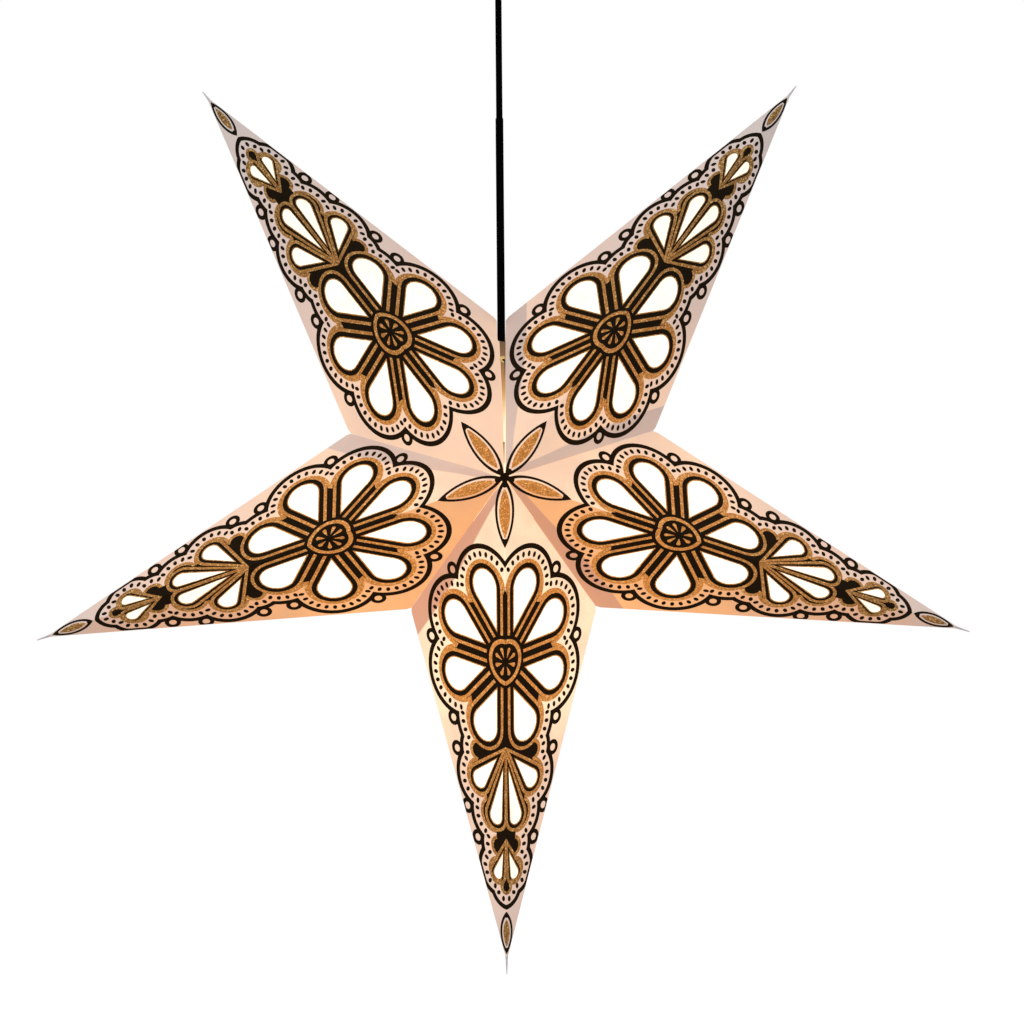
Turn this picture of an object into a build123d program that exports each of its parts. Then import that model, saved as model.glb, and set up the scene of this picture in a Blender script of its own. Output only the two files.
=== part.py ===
from build123d import *
import os
from math import acos, asin, cos, degrees, hypot, pi, radians, sin, sqrt, tan

os.makedirs("parts", exist_ok=True)

# A five-pointed folding paper star lantern that hangs from the ceiling on its flex.
# Millimetres, +Z up, the front looks along -Y, and the origin is the middle of the ceiling face.

# The star, at rest
TIP_R = 315.0  # from the star's middle to a tip, seen from the front
VALLEY_R = 104.0  # from the middle to the bottom of a valley
APEX_H = 100.0  # from the star's plane to the front apex, and to the back one
POINTS = 5
SEAM_OPENING = 60.0  # how far the untied seam opens, in degrees round the star's middle

# The card and what is glued to it
CARD_T = 0.3
TISSUE_T = 0.15
FRONT_GAP = 0.05  # from a crease line to each panel's edge
BACK_GAP = 0.14  # the same where the two back panels of a point meet
VALLEY_BACK_GAP = 0.2  # the same in a back valley
TIP_CUT = 1.0  # a panel's sharp corners are cut this far back
TIP_FEATHER = 2.6  # the tip's inner face stops this much shorter, where its mitres meet
APEX_CUT = 2.0
VALLEY_CUT = 1.0
TISSUE_INSET = 2.6  # from the ridge and the silhouette edge
TISSUE_SEAM = 16.5  # from the seam, clear of the glued flap
TISSUE_TIP = 30.0  # short of the tip
TISSUE_APEX = 34.0
TISSUE_VALLEY = 30.0
BAND_AT_VALLEY = 18.0  # width of a glued flap at its valley end
BAND_AT_APEX = 5.0
BAND_START = 4.0  # along the seam, from the valley
BAND_STOP = 22.0  # short of the apex

# The end flap behind the open seam
FLAP_DIVE = 15.0  # degrees from square to the seam's mid-plane
FLAP_START = 20.0
FLAP_END = 112.0
FLAP_WIDE = 16.0
FLAP_NARROW = 8.0
FLAP_ROOT = 1.4  # how far it runs under its own panel
EYELET_ALONG = 37.0  # from the valley, along the seam's edge
EYELET_ACROSS = 4.1
EYELET_R = 3.3
EYELET_BORE_R = 1.7
EYELET_WALL = 0.3
STRING_R = 0.35
STRING_TAIL = 17.0
STRING_BEHIND = 2.0
STRING_BEND = 0.7

# Cut-out windows, drops that point at a centre on the ridge: u along it from the apex
ROSE_U = 124.0
ROSE_PETALS = 8
ROSE_DROP = (22.0, 62.0, 22.0)  # inner end, outer end and width
LEAVES = (
    (184.0, 11.5, 14.0, 54.0, 11.0),  # centre on the ridge, turn, inner end, outer end and width
    (182.0, 42.0, 14.0, 44.0, 12.0),
    (246.0, 18.0, 10.0, 30.0, 7.5),
)
DROP_SIDES = 6  # of a drop's round end

# The flex, from the lampholder to the ceiling
CORD_R = 2.1
SLEEVE_R = 2.55
SLEEVE_TOP = 235.0  # over the star's middle
SEAM_CLEAR = 0.4  # from the sleeve to the edges of the seam
CORD_SHOWN = 322.0  # from the star's middle to the ceiling cup's grip

# The lampholder and the bulb, E14
GRIP_TOP = 74.0  # over the star's middle
GRIP_R = 5.5
GRIP_H = 8.0
CAP_H = 20.0
HOLDER_R = 14.5
SKIRT_H = 36.0
HOLDER_WALL = 1.8
INSERT_T = 6.0
SHELL_R = 7.25  # inside the brass screw shell
SHELL_T = 0.4
SHELL_L = 19.0
BASE_R = 6.95  # outside the bulb's metal base
BASE_L = 21.0
GLASS_R = 22.5
GLASS_H = 53.0  # from the metal base to the bottom of the glass
GLOBE_STEPS = 5  # straight steps of the globe's curve
FIT = 0.1  # between pieces of the lampholder that seat in one another

# The ceiling end
CUP_R = 45.0
CUP_H = 44.0
CUP_WALL = 1.6
CUP_BELOW = 0.5  # from the ceiling to the cup's rim
CUP_CURVE = ((1.0, 0.0), (1.0, 0.4), (0.82, 0.82), (0.36, 1.0))  # shares of its radius and its height
NIPPLE_R = 6.0
NIPPLE_H = 9.0
NIPPLE_FLANGE_R = 9.0
RUN_CLEAR = 0.25  # from the cord to the bore that slides on it
BRACKET_L = 78.0
BRACKET_W = 20.0
BRACKET_T = 2.0
SCREW_HOLE_R = 2.25
SCREW_SPACING = 60.0
LEG_L = 36.0
BLOCK = (24.0, 12.0, 14.0)
BLOCK_FROM_PLATE = 2.0
CLAMP = (22.0, 8.0, 9.0)
CLAMP_SCREW_R = 1.5
CLAMP_SCREW_X = 7.0
CLAMP_BACK = 1.0  # its wall between the cord and the bracket

# What follows from them
SEAM_X = SLEEVE_R + SEAM_CLEAR  # half the seam's opening at the valley
HALF = 180.0 / POINTS - degrees(asin(SEAM_X / VALLEY_R)) / POINTS  # half a point's angle, at rest
CUP_BOTTOM = -CUP_BELOW - CUP_H
STAR_Z = CUP_BOTTOM - NIPPLE_H - CORD_SHOWN
MIDDLE = Vector(0, 0, STAR_Z)
TF_L = hypot(TIP_R, APEX_H)
VF_L = hypot(VALLEY_R, APEX_H)
TV_L = sqrt(TIP_R**2 + VALLEY_R**2 - 2 * TIP_R * VALLEY_R * cos(radians(HALF)))
VALLEY_U = (TF_L**2 + VF_L**2 - TV_L**2) / (2 * TF_L)
VALLEY_V = sqrt(VF_L**2 - VALLEY_U**2)


def fold_state(half):
    """Apex height, tip radius and valley radius when half a point's angle is this many degrees."""
    low = 0.0
    high = min(TF_L, VF_L) ** 2 - 1e-6
    for _ in range(80):
        square = (low + high) / 2
        across = sqrt((TF_L**2 - square) * (VF_L**2 - square)) * cos(radians(half))
        if across > (TF_L**2 + VF_L**2 - TV_L**2) / 2 - square:
            low = square
        else:
            high = square
    return sqrt(square), sqrt(TF_L**2 - square), sqrt(VF_L**2 - square)


def crease_angles(half, height, tip, valley):
    """Half the angle between panels, in degrees: at a silhouette edge, a valley and a ridge."""
    normal_x = height * tip * sin(radians(half))
    normal_y = height * (valley - tip * cos(radians(half)))
    normal_z = tip * valley * sin(radians(half))
    length = sqrt(normal_x**2 + normal_y**2 + normal_z**2)
    ridge = acos(height * (tip - valley * cos(radians(half))) / length)
    return degrees(acos(normal_z / length)), degrees(acos(-normal_y / length)), degrees(ridge)


OPEN_HALF = HALF - SEAM_OPENING / 2 / POINTS
EDGE_REST, VALLEY_REST, RIDGE_REST = crease_angles(HALF, APEX_H, TIP_R, VALLEY_R)
EDGE_OPEN, VALLEY_OPEN, RIDGE_OPEN = crease_angles(OPEN_HALF, *fold_state(OPEN_HALF))

# Each point: its place round the star, and the names of its two sides
AZIMUTHS = {
    "bottom": (-90.0, "left", "right"),
    "right": (-90.0 + 2 * HALF, "lower", "upper"),
    "upper_right": (-90.0 + 4 * HALF, "right", "left"),
    "left": (-90.0 - 2 * HALF, "upper", "lower"),
    "upper_left": (-90.0 - 4 * HALF, "right", "left"),
}


def star_point(radius, azimuth):
    """A place in the star's plane."""
    return MIDDLE + Vector(radius * cos(radians(azimuth)), 0, radius * sin(radians(azimuth)))


def panel_frame(azimuth, turn, face):
    """A panel's plane: origin at the apex, X to the tip, Z out of the star. Also which way the valley lies.

    turn is -1 for the side met first going clockwise, +1 for the other; face is -1 in front, +1 behind.
    """
    apex = MIDDLE + Vector(0, face * APEX_H, 0)
    tip = star_point(TIP_R, azimuth)
    valley = star_point(VALLEY_R, azimuth + turn * HALF)
    along = (tip - apex).normalized()
    normal = along.cross(valley - apex).normalized()
    if normal.dot(valley - MIDDLE) < 0:
        normal = -normal
    plane = Plane(origin=apex, x_dir=along, z_dir=normal)
    return plane, 1 if plane.y_dir.dot(valley - apex) > 0 else -1


def shifted_line(start, end, inward):
    """The line from start to end as a point and a direction, moved inward to its left."""
    du = end[0] - start[0]
    dv = end[1] - start[1]
    length = hypot(du, dv)
    return (start[0] - dv / length * inward, start[1] + du / length * inward), (du / length, dv / length)


def crossing(first, second):
    """Where two such lines cross."""
    (au, av), (adu, adv) = first
    (bu, bv), (bdu, bdv) = second
    t = ((bu - au) * bdv - (bv - av) * bdu) / (adu * bdv - adv * bdu)
    return au + adu * t, av + adv * t


def inset_triangle(ridge, silhouette, seam, tip_cut, apex_cut, valley_cut):
    """A panel's triangle with its edges moved in and its corners cut square, as points in order.

    The valley lies at +v here. The order is apex, tip, valley, anticlockwise.
    """
    apex = (0.0, 0.0)
    tip = (TF_L, 0.0)
    valley = (VALLEY_U, VALLEY_V)
    lines = [
        shifted_line(apex, tip, ridge),
        shifted_line(tip, valley, silhouette),
        shifted_line(valley, apex, seam),
    ]
    cuts = [
        ((TF_L - tip_cut, 0.0), (0.0, 1.0)),
        ((VALLEY_U, VALLEY_V - valley_cut), (-1.0, 0.0)),
        ((apex_cut, 0.0), (0.0, -1.0)),
    ]
    return [
        crossing(lines[0], cuts[0]),
        crossing(cuts[0], lines[1]),
        crossing(lines[1], cuts[1]),
        crossing(cuts[1], lines[2]),
        crossing(lines[2], cuts[2]),
        crossing(cuts[2], lines[0]),
    ]


def outline(points, side, height):
    """A closed outline through the points, mirrored for the other side, at a height on the panel."""
    return Wire.make_polygon([Vector(u, side * v, height) for u, v in points], close=True)


def sheet(points, side, top, thickness):
    """A flat layer under a panel: its outline, its outer face's height and its thickness."""
    rings = [outline(points, side, top), outline(points, side, top - thickness)]
    return Solid.make_loft(rings, ruled=True)


def drop(length, width):
    """A drop along X: pointed at X = 0, with a round far end of a few straight sides."""
    turn = acos(width / 2 / (length - width / 2))
    step = (2 * pi - 2 * turn) / DROP_SIDES
    radius = width / 2 / cos(step / 2)
    points = [(0.0, 0.0)]
    for k in range(DROP_SIDES):
        angle = turn - pi + step * (k + 0.5)
        points.append((length - width / 2 + radius * cos(angle), radius * sin(angle)))
    return make_face(Polyline(*points, close=True))


def on_ray(centre_u, turn, reach, side, shape):
    """A shape moved out from a centre on the ridge and turned to point away from it."""
    u = centre_u + reach * cos(radians(turn))
    return Pos(u, side * reach * sin(radians(turn))) * Rot(0, 0, side * turn) * shape


def windows(side):
    """All the cut-outs of one panel."""
    step = 360.0 / ROSE_PETALS
    drops = [(ROSE_U, step * (k + 0.5), *ROSE_DROP) for k in range(ROSE_PETALS // 2)]
    drops += LEAVES
    faces = []
    for centre_u, turn, inner, outer, width in drops:
        faces.append(on_ray(centre_u, turn, inner, side, drop(outer - inner, width)))
    return faces


def seam_frame(side):
    """The seam's edge in a panel's own frame: the valley end, the way to the apex and the way out."""
    valley = Vector(VALLEY_U, side * VALLEY_V, 0)
    along = -valley.normalized()
    outward = Vector(-valley.Y, valley.X, 0).normalized() * side
    return valley, along, outward


def flap_axes(side):
    """The end flap's own directions in its panel's frame: across it, and out of its printed face."""
    _, _, outward = seam_frame(side)
    rise = radians(90.0 - VALLEY_REST - FLAP_DIVE)
    across = outward * cos(rise) + Vector(0, 0, sin(rise))
    return across, Vector(0, 0, cos(rise)) - outward * sin(rise)


def flap_place(side, along_seam, across_flap, above):
    """A place on the end flap: along the seam, across the flap and above its printed face."""
    valley, along, outward = seam_frame(side)
    across, out = flap_axes(side)
    edge = valley + along * along_seam - outward * FRONT_GAP - Vector(0, 0, CARD_T)
    return edge + across * across_flap + out * above


def end_flap(side):
    """The strip that runs from a panel's seam edge under the next point's panel."""
    _, _, outward = seam_frame(side)
    rings = []
    for along_seam, wide in ((FLAP_START, FLAP_WIDE), (FLAP_END, FLAP_NARROW)):
        root = flap_place(side, along_seam, 0, 0)
        back = root - outward * FLAP_ROOT
        drop = Vector(0, 0, CARD_T)
        far = flap_place(side, along_seam, wide, 0)
        far_under = flap_place(side, along_seam, wide, -CARD_T)
        rings.append(Wire.make_polygon([back, root, far, far_under, root - drop, back - drop], close=True))
    return Solid.make_loft(rings, ruled=True)


def glued_flap(side):
    """The next sheet's flap, glued under a panel along its seam."""
    points = []
    seam = hypot(VALLEY_U, VALLEY_V)
    for along_seam, wide in (
        (BAND_START, 0.5),
        (BAND_START, BAND_AT_VALLEY),
        (seam - BAND_STOP, BAND_AT_APEX),
        (seam - BAND_STOP, 0.5),
    ):
        share = 1 - along_seam / seam
        points.append((VALLEY_U * share + wide * VALLEY_V / seam, VALLEY_V * share - wide * VALLEY_U / seam))
    return sheet(points, side, -CARD_T, CARD_T)


def panel(side, face, glued, ends):
    """One flat panel of card, in its own frame, with its windows and any flap."""
    ridge_gap = FRONT_GAP if face < 0 else BACK_GAP
    seam_gap = FRONT_GAP if face < 0 else VALLEY_BACK_GAP
    ridge_mitre = CARD_T / tan(radians(RIDGE_OPEN))
    edge_mitre = CARD_T / tan(radians(EDGE_REST))
    outer = inset_triangle(ridge_gap, FRONT_GAP, seam_gap, TIP_CUT, APEX_CUT, VALLEY_CUT)
    inner_edges = (ridge_gap + ridge_mitre, FRONT_GAP + edge_mitre, seam_gap)
    inner = inset_triangle(*inner_edges, TIP_CUT + TIP_FEATHER, APEX_CUT, VALLEY_CUT)
    solid = Solid.make_loft([outline(outer, side, 0), outline(inner, side, -CARD_T)], ruled=True)
    if glued:
        solid = solid + glued_flap(side)
    if ends:
        solid = solid + end_flap(side)
    through = [extrude(shape, amount=3 * CARD_T, both=True) for shape in windows(side)]
    solid = solid - through
    if ends:
        hole = Cylinder(EYELET_BORE_R + EYELET_WALL + FRONT_GAP, 4 * CARD_T)
        solid = solid - eyelet_frame(side).location * hole
    return solid


def tissue(side):
    """The tissue behind a panel's windows."""
    points = inset_triangle(TISSUE_INSET, TISSUE_INSET, TISSUE_SEAM, TISSUE_TIP, TISSUE_APEX, TISSUE_VALLEY)
    return sheet(points, side, -CARD_T, TISSUE_T)


def eyelet_frame(side):
    """The eyelet's plane in its panel's frame: on the flap's printed face, Z out of it."""
    across, out = flap_axes(side)
    return Plane(origin=flap_place(side, EYELET_ALONG, EYELET_ACROSS, 0), x_dir=across, z_dir=out)


def eyelet(side):
    """A brass eyelet: a short tube with a flange on the flap's printed face."""
    barrel_r = EYELET_BORE_R + EYELET_WALL
    profile = Polyline(
        (EYELET_BORE_R, -CARD_T - EYELET_WALL),
        (barrel_r, -CARD_T - EYELET_WALL),
        (barrel_r, 0),
        (EYELET_R, 0),
        (EYELET_R, EYELET_WALL),
        (EYELET_BORE_R, EYELET_WALL),
        close=True,
    )
    ring = revolve(Plane.XZ * make_face(profile), Axis.Z)
    return eyelet_frame(side).location * ring


def tie_string(side):
    """The string's end: out of the eyelet, over its flange and down in front of the flap."""
    lift = EYELET_WALL + STRING_R + 0.05
    frame = eyelet_frame(side)
    down = frame.to_local_coords(frame.origin + seam_frame(side)[1])
    path = FilletPolyline(
        Vector(0, 0, -CARD_T - STRING_BEHIND),
        Vector(0, 0, lift),
        down * STRING_TAIL + Vector(0, 0, lift),
        radius=STRING_BEND,
    )
    start = Plane(origin=path @ 0, z_dir=path % 0)
    section = start * RegularPolygon(STRING_R, 6)
    return frame.location * sweep(section, path=path)


def turned(points):
    """A solid turned round the Z axis from the points of its half section, radius first."""
    return revolve(Plane.XZ * make_face(Polyline(*points, close=True)), Axis.Z)


def tube(radius, bore, low, high):
    """A straight round tube, or a rod where the bore is 0, on the Z axis."""
    body = extrude(Plane.XY.offset(low) * Circle(radius), amount=high - low)
    if bore:
        body = body - extrude(Plane.XY.offset(low) * Circle(bore), amount=high - low)
    return body


def save(shape, name):
    """Write one node."""
    shape.label = name
    export_step(shape, f"parts/{name}.step")


def build_star():
    """The twenty panels with what is on them."""
    for point, (azimuth, *sides) in AZIMUTHS.items():
        for turn, side_name in zip((-1, 1), sides):
            for face, face_name in ((-1, "front"), (1, "back")):
                name = f"{point}_{face_name}_{side_name}"
                frame, side = panel_frame(azimuth, turn, face)
                at_seam = point == "upper_left" and turn == -1
                glued = turn == -1 and not at_seam
                save(frame.location * panel(side, face, glued, at_seam), f"{name}_panel")
                save(frame.location * tissue(side), f"{name}_tissue")
                if at_seam:
                    save(frame.location * eyelet(side), f"{face_name}_eyelet")
                    save(frame.location * tie_string(side), f"{face_name}_tie_string")


def build_lampholder():
    """Grip, cap, skirt, insert, screw shell and centre contact, on the Z axis."""
    cap_top = STAR_Z + GRIP_TOP - GRIP_H
    skirt_top = cap_top - CAP_H
    skirt_end = skirt_top - SKIRT_H
    bore = HOLDER_R - HOLDER_WALL
    neck = GRIP_R - 1.5
    grip = turned(
        [
            (CORD_R + FIT, cap_top - 5.0),
            (neck - FIT, cap_top - 5.0),
            (neck - FIT, cap_top),
            (GRIP_R, cap_top),
            (GRIP_R - 1.0, cap_top + GRIP_H),
            (CORD_R + FIT, cap_top + GRIP_H),
        ]
    )
    save(grip, "lampholder_grip")
    shoulder = HOLDER_R * 0.62
    cap = turned(
        [
            (neck, cap_top - 3.0),
            (neck, cap_top),
            (shoulder, cap_top),
            (HOLDER_R, cap_top - CAP_H * 0.55),
            (HOLDER_R, skirt_top),
            (bore, skirt_top),
            (bore, cap_top - CAP_H * 0.55),
            (shoulder, cap_top - CAP_H * 0.55),
            (shoulder, cap_top - 3.0),
        ]
    )
    save(cap, "lampholder_cap")
    ledge = skirt_top - INSERT_T - 2.0
    skirt = turned(
        [
            (bore - 1.2, ledge),
            (bore - 1.2, skirt_end),
            (HOLDER_R, skirt_end),
            (HOLDER_R, skirt_top),
            (bore, skirt_top),
            (bore, ledge),
        ]
    )
    save(skirt, "lampholder_skirt")
    insert_low = ledge
    insert = tube(bore - FIT, 0, insert_low, insert_low + INSERT_T)
    insert = insert - tube(2.0, 0, insert_low, insert_low + 1.2)
    for x in (-5.5, 5.5):
        insert = insert - Pos(x, 0, insert_low + INSERT_T) * Box(3.0, 4.0, 5.0)
    save(insert, "lampholder_insert")
    shell = tube(SHELL_R + SHELL_T, SHELL_R, insert_low - SHELL_L, insert_low)
    shell = shell + tube(SHELL_R + SHELL_T, SHELL_R - 2.5, insert_low - SHELL_T, insert_low)
    save(shell, "screw_shell")
    contact = tube(2.0 - FIT, 0, insert_low - 0.9, insert_low + 1.2)
    save(contact, "centre_contact")
    return insert_low - 1.0


def build_bulb(contact_z):
    """The opal globe, closed, and the metal base, hanging under the centre contact."""
    base_top = contact_z - 1.6
    base_low = base_top - BASE_L
    neck_r = BASE_R + 1.3
    base = turned(
        [
            (0, contact_z),
            (3.2, base_top),
            (BASE_R, base_top - 2.0),
            (BASE_R, base_low),
            (0, base_low),
        ]
    )
    save(base, "bulb_base")
    ball_z = base_low - GLASS_H + GLASS_R
    slope = asin((GLASS_R - neck_r) / hypot(base_low - ball_z, neck_r) * 0.82)
    points = [(0, base_low), (neck_r, base_low)]
    for k in range(GLOBE_STEPS):
        angle = slope - (slope + pi / 2) * k / GLOBE_STEPS
        points.append((GLASS_R * cos(angle), ball_z + GLASS_R * sin(angle)))
    points.append((0, ball_z - GLASS_R))
    save(turned(points), "bulb_globe")


def build_cord():
    """The flex, straight and taut, and the sleeve over its lower part."""
    cord_low = STAR_Z + GRIP_TOP - GRIP_H - 5.0
    cord_high = -BRACKET_T - BLOCK_FROM_PLATE - BLOCK[2]
    sleeve_low = STAR_Z + GRIP_TOP
    save(tube(CORD_R, 0, cord_low, cord_high), "cord")
    save(tube(SLEEVE_R, CORD_R, sleeve_low, STAR_Z + SLEEVE_TOP), "cord_sleeve")


def build_ceiling_end():
    """Bracket, terminal block, cord clamp and its screws, and the cup with its grip."""
    leg_y = CORD_R + FIT + CLAMP_BACK
    plate = Pos(0, 0, -BRACKET_T / 2) * Box(BRACKET_L, BRACKET_W, BRACKET_T)
    leg = Pos(0, leg_y + BRACKET_T / 2, -LEG_L / 2) * Box(CLAMP[0], BRACKET_T, LEG_L)
    bracket = plate + leg
    for x in (-SCREW_SPACING / 2, SCREW_SPACING / 2):
        bracket = bracket - Pos(x, 0, 0) * tube(SCREW_HOLE_R, 0, -BRACKET_T, 0)
    clamp_z = -LEG_L + CLAMP[2] / 2 + 1.0
    across = Plane.XZ * Circle(CLAMP_SCREW_R)
    clamp = Pos(0, leg_y - CLAMP[1] / 2, clamp_z) * Box(*CLAMP)
    clamp = clamp - tube(CORD_R + FIT, 0, clamp_z - CLAMP[2], clamp_z + CLAMP[2])
    screws = []
    for x in (-CLAMP_SCREW_X, CLAMP_SCREW_X):
        start = Pos(x, leg_y + BRACKET_T, clamp_z)
        shank = start * extrude(across, amount=CLAMP[1] + BRACKET_T)
        head = Pos(x, leg_y - CLAMP[1], clamp_z) * extrude(Plane.XZ * RegularPolygon(3.0, 6), amount=1.8)
        hole = start * extrude(Plane.XZ * Circle(CLAMP_SCREW_R + FIT), amount=CLAMP[1] + BRACKET_T)
        bracket = bracket - hole
        clamp = clamp - hole
        screws.append(shank + head)
    save(bracket, "ceiling_bracket")
    save(clamp, "cord_clamp")
    save(Compound(children=screws), "clamp_screws")
    block_z = -BRACKET_T - BLOCK_FROM_PLATE - BLOCK[2] / 2
    block = Pos(0, leg_y - BLOCK[1] / 2, block_z) * Box(*BLOCK)
    for x in (-8.0, 0.0, 8.0):
        block = block - Pos(x, leg_y - BLOCK[1], block_z) * Box(4.4, 8.0, 4.4)
    save(block, "terminal_block")
    inner_low = CUP_BOTTOM + CUP_WALL
    outer = []
    inner = []
    for across, down in CUP_CURVE:
        outer.append((CUP_R * across, -CUP_BELOW - CUP_H * down))
        inner.append((CUP_R * across - CUP_WALL, -CUP_BELOW - (CUP_H - CUP_WALL) * down))
    outer.append((NIPPLE_R, CUP_BOTTOM))
    inner.append((NIPPLE_R, inner_low))
    save(turned(outer + inner[::-1]), "ceiling_cup")
    bore = CORD_R + RUN_CLEAR
    nipple = turned(
        [
            (bore, CUP_BOTTOM - NIPPLE_H),
            (NIPPLE_R - 1.0, CUP_BOTTOM - NIPPLE_H),
            (NIPPLE_FLANGE_R, CUP_BOTTOM),
            (NIPPLE_R - FIT, CUP_BOTTOM),
            (NIPPLE_R - FIT, inner_low + 3.0),
            (bore, inner_low + 3.0),
        ]
    )
    save(nipple, "cup_grip")


def main():
    build_star()
    build_bulb(build_lampholder())
    build_cord()
    build_ceiling_end()
    print("half a point's angle", round(HALF, 4), "opened", round(OPEN_HALF, 4))
    print("creases at rest", [round(a, 4) for a in (EDGE_REST, VALLEY_REST, RIDGE_REST)])
    print("creases opened", [round(a, 4) for a in (EDGE_OPEN, VALLEY_OPEN, RIDGE_OPEN)])
    print("star's middle at z", STAR_Z)


main()
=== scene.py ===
from math import acos, asin, atan2, ceil, cos, degrees, hypot, pi, radians, sin, sqrt, tan

import bpy
from bpy.props import FloatProperty, FloatVectorProperty, PointerProperty
from mathutils import Matrix, Vector


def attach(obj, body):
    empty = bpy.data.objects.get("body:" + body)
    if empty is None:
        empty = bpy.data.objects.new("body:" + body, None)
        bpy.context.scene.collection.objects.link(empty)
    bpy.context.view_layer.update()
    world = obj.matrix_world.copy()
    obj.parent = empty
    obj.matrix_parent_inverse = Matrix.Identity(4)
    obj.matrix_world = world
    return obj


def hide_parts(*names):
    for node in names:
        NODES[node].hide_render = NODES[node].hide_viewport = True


bl_info = {
    "name": "Paper star lantern",
    "version": (1, 0, 0),
    "blender": (4, 5, 0),
    "location": "3D View > Sidebar > Star",
    "description": "Prints, papers, flex and stage of a folding paper star lantern",
    "category": "Object",
}

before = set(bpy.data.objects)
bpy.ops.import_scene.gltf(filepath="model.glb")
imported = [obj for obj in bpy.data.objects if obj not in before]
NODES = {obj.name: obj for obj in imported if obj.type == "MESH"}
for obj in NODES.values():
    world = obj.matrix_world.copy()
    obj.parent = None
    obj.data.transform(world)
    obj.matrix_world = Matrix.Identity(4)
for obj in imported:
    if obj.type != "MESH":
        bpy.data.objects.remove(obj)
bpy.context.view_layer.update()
MM = 0.001

# The star's sizes, in millimetres, as the solids have them
TIP_R = 315.0
VALLEY_R = 104.0
APEX_H = 100.0
SEAM_X = 2.95
HALF = 36.0 - degrees(asin(SEAM_X / VALLEY_R)) / 5
MIDDLE = Vector((0, 0, -375.5))
POINTS = {
    "bottom": (-90.0, "left", "right"),
    "right": (-90.0 + 2 * HALF, "lower", "upper"),
    "upper_right": (-90.0 + 4 * HALF, "right", "left"),
    "left": (-90.0 - 2 * HALF, "upper", "lower"),
    "upper_left": (-90.0 - 4 * HALF, "right", "left"),
}
RIDGE_L = hypot(TIP_R, APEX_H)
SEAM_L = hypot(VALLEY_R, APEX_H)
EDGE_L = sqrt(TIP_R**2 + VALLEY_R**2 - 2 * TIP_R * VALLEY_R * cos(radians(HALF)))
VALLEY_U = (RIDGE_L**2 + SEAM_L**2 - EDGE_L**2) / (2 * RIDGE_L)
VALLEY_V = sqrt(SEAM_L**2 - VALLEY_U**2)
LAMP = MIDDLE + Vector((0, 0, -16.0))

# The windows, cut in the card: drops that point at a centre on the ridge
ROSE_U = 124.0
ROSE_TURNS = (22.5, 67.5, 112.5, 157.5)
ROSE_DROP = (22.0, 62.0, 22.0)  # inner end, outer end and width
LEAVES = (
    (184.0, 11.5, 14.0, 54.0, 11.0),  # centre on the ridge, turn, inner end, outer end and width
    (182.0, 42.0, 14.0, 44.0, 12.0),
    (246.0, 18.0, 10.0, 30.0, 7.5),
)
DROPS = tuple((ROSE_U, turn, *ROSE_DROP) for turn in ROSE_TURNS) + LEAVES

# The gold body's lobes: centre along the ridge, away from it, and radius
ROSE_LOBE_AT = 49.0
ROSE_LOBE_R = 19.5
FAN_LOBES = (
    (191.0, 27.0, 7.5), (209.0, 24.5, 13.5), (231.0, 12.0, 12.5),
    (252.0, 7.0, 7.6), (268.5, 8.0, 9.0), (279.5, 1.0, 4.5),
)

# Where the ink print runs, and how near it may come to the silhouette crease
INK_UNDER_GOLD = 0.6
BORDER_ROOM = (0.5, 2.2)  # the border's outer and inner line
DOT_ROOM = 5.0
DOTS_FROM_RIDGE = 0.8
RING_AWAY = 3.2  # from the border's hollows to the rings' middles
RING_APART = 14.0
RING_LEAST_ROOM = 2.5
RING_LINES = ((5.3, 0.4, 28), (2.5, 1.5, 20))  # radius, room and number of points
RIDGE_LEAVES = ((24.0, 46.0, 18.5, 2.2), (310.5, 30.0, 12.0, 1.8))  # middle, length, width and line
LEAF_GOLD = ((33.0, 10.5), (19.0, 6.0))  # length and width inside the leaves
HUB_R = 18.0
HUB_RING = (15.5, 12.6)
HUB_DROP = (3.0, 7.0, 2.8)  # inner end, length and width
FRINGE = 0.7  # the gold round each window

# Seams where a glue flap doubles the card, with painted shade over the flap: azimuth, and the side that
# the flap lies on
SEAMS = (
    (-90.0 - HALF, 1), (-90.0 + HALF, 1), (-90.0 + 3 * HALF, 1), (-90.0 - 3 * HALF, 1),
    (-90.0 + 5 * HALF, -1),
)

# A glue flap's width, and so the width of its painted shade band, at the middle and 100 mm out, in metres
FLAP_W = (0.004, 0.0135)

# How far the lamp's light reaches, in metres, and its share with the distance from it
LAMP_REACH = 0.34
CARD_FALL = ((0.0, 1.0), (0.35, 0.95), (0.6, 0.55), (1.0, 0.08))
TISSUE_FALL = ((0.0, 1.0), (0.35, 0.9), (0.7, 0.35), (1.0, 0.0))
GOLD_FALL = ((0.0, 1.0), (0.35, 0.9), (0.55, 0.45), (0.8, 0.14), (1.0, 0.0))
INK_FALL = ((0.0, 1.0), (0.5, 0.5), (1.0, 0.0))
HOLDER_FALL = ((0.0, 1.0), (0.09, 1.0), (0.14, 0.25), (0.19, 0.0))

# The light that comes through, and the tones that go with it
DARK = (0.0, 0.0, 0.0)
CARD_GLOW = (
    (0.0, DARK), (0.35, (0.24, 0.13, 0.08)),
    (0.7, (0.55, 0.33, 0.19)), (1.0, (0.84, 0.66, 0.42)),
)
GOLD_GLOW = (0.55, 0.165, 0.025)
# The brightest glitter grains: a painted sparkle
GOLD_PAINTED_SPARK = (0.85, 0.60, 0.26)
INK_GLOW = (0.009, 0.002, 0.0)
HOLDER_GLOW = (1.0, 0.62, 0.26)
ORANGE_GLOW = (0.72, 0.24, 0.03)  # on the side points' lower panels
# Painted lamp light: the base colour of the side points' lower panels
ORANGE_LIT_CARD = (0.50, 0.27, 0.13)
LOW_BAND_GLOW = (0.50, 0.21, 0.10)  # where the card is double, below the middle
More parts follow.
